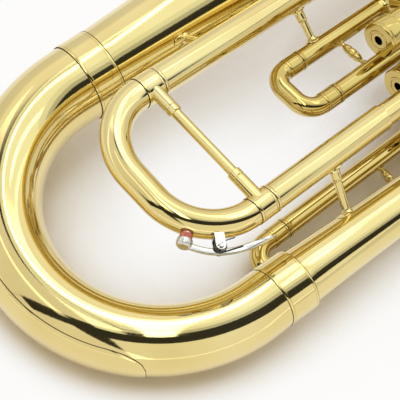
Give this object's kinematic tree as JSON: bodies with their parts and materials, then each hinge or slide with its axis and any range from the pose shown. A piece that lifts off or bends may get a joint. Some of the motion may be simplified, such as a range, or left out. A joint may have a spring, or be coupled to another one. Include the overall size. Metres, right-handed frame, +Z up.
{
  "type": "euphonium",
  "caption": "three-valve brass euphonium lying on its back: flared bell, round bottom bow, upright piston valves, tuning slides, water key, leadpipe and mouthpiece",
  "frame": {"origin": "centre of the footprint, on the table that the instrument lies on", "axes": "+Z up from the table; +Y roughly from the bottom bow to the bell; +X from the bell leg to the branch leg"},
  "size_m": [0.3968, 0.659, 0.3079],
  "materials": {
    "lacquered_brass": "polished brass under clear lacquer",
    "nickel_silver": "polished nickel silver",
    "silver_plate": "polished silver plate",
    "monel": "lapped nickel alloy",
    "spring_steel": "drawn wire",
    "cork": "dyed cork",
    "felt": "pressed wool felt",
    "pearl": "pearl plastic"
  },
  "bodies": {
    "horn": {"main_slide_receiver_left": "lacquered_brass", "main_slide_receiver_right": "lacquered_brass", "valve_casing_1": "lacquered_brass", "valve_bottom_cap_1": "lacquered_brass", "valve_top_cap_1": "lacquered_brass", "valve_felt_1": "felt", "valve_casing_2": "lacquered_brass", "valve_bottom_cap_2": "lacquered_brass", "valve_top_cap_2": "lacquered_brass", "valve_felt_2": "felt", "valve_casing_3": "lacquered_brass", "valve_bottom_cap_3": "lacquered_brass", "valve_top_cap_3": "lacquered_brass", "valve_felt_3": "felt", "first_slide_tubes": "lacquered_brass", "third_slide_tube_left": "lacquered_brass", "third_slide_tube_right": "lacquered_brass", "outlet_tube": "lacquered_brass", "bell": "lacquered_brass", "bell_ferrule": "lacquered_brass", "bottom_bow": "lacquered_brass", "bow_guard": "lacquered_brass", "branch_ferrule": "lacquered_brass", "outer_branch": "lacquered_brass", "top_bow": "lacquered_brass", "top_bow_outer_ferrule": "lacquered_brass", "top_bow_inner_ferrule": "lacquered_brass", "inner_branch": "lacquered_brass", "leadpipe": "lacquered_brass", "mouthpiece_receiver": "nickel_silver", "slide_brace": "lacquered_brass", "branch_brace": "lacquered_brass", "bell_brace": "lacquered_brass"},
    "main_slide": {"main_crook": "lacquered_brass", "main_slide_leg_left": "nickel_silver", "main_slide_leg_right": "nickel_silver", "main_slide_brace": "lacquered_brass", "water_key_nipple": "nickel_silver", "water_key_saddle": "nickel_silver", "water_key_pin": "nickel_silver"},
    "water_key": {"water_key_lever": "nickel_silver", "water_key_cork": "cork", "water_key_spring": "spring_steel"},
    "first_valve_slide": {"first_slide": "lacquered_brass"},
    "second_valve_slide": {"second_slide": "lacquered_brass"},
    "third_valve_slide": {"third_slide": "lacquered_brass"},
    "mouthpiece_body": {"mouthpiece": "silver_plate"},
    "valve_1": {"valve_piston_1": "monel", "finger_button_1": "lacquered_brass", "button_pearl_1": "pearl", "valve_spring_1": "spring_steel"},
    "valve_2": {"valve_piston_2": "monel", "finger_button_2": "lacquered_brass", "button_pearl_2": "pearl", "valve_spring_2": "spring_steel"},
    "valve_3": {"valve_piston_3": "monel", "finger_button_3": "lacquered_brass", "button_pearl_3": "pearl", "valve_spring_3": "spring_steel"}
  },
  "joints": [
    {"name": "valve_press_1", "type": "slide", "parent": "horn", "child": "valve_1", "axis": [0.0591, -0.9977, -0.0334], "range_m": [0, 0.017], "stiffness_N_per_m": 150, "springref_m": -0.023, "deforming": ["valve_spring_1"]},
    {"name": "valve_press_2", "type": "slide", "parent": "horn", "child": "valve_2", "axis": [0.0591, -0.9977, -0.0334], "range_m": [0, 0.017], "stiffness_N_per_m": 150, "springref_m": -0.023, "deforming": ["valve_spring_2"]},
    {"name": "valve_press_3", "type": "slide", "parent": "horn", "child": "valve_3", "axis": [0.0591, -0.9977, -0.0334], "range_m": [0, 0.017], "stiffness_N_per_m": 150, "springref_m": -0.023, "deforming": ["valve_spring_3"]},
    {"name": "main_tuning", "type": "slide", "parent": "horn", "child": "main_slide", "axis": [0.0591, -0.9977, -0.0334], "range_m": [0, 0.08]},
    {"name": "first_tuning", "type": "slide", "parent": "horn", "child": "first_valve_slide", "axis": [0.0591, -0.9977, -0.0334], "range_m": [0, 0.05]},
    {"name": "second_tuning", "type": "slide", "parent": "horn", "child": "second_valve_slide", "axis": [-0.7128, -0.0188, -0.7011], "range_m": [0, 0.012]},
    {"name": "third_tuning", "type": "slide", "parent": "horn", "child": "third_valve_slide", "axis": [0.0591, -0.9977, -0.0334], "range_m": [0, 0.04]},
    {"name": "water_key_hinge", "type": "hinge", "parent": "main_slide", "child": "water_key", "pos_m": [0.139, -0.19973, 0.08551], "axis": [0.1418, -0.0247, 0.9896], "range_deg": [0, 10], "stiffness_Nm_per_rad": 0.12, "springref_deg": -51.57, "deforming": ["water_key_spring"]},
    {"name": "mouthpiece_pull", "type": "slide", "parent": "horn", "child": "mouthpiece_body", "axis": [-0.436, 0.7326, 0.5227], "range_m": [0, 0.03]}
  ]
}
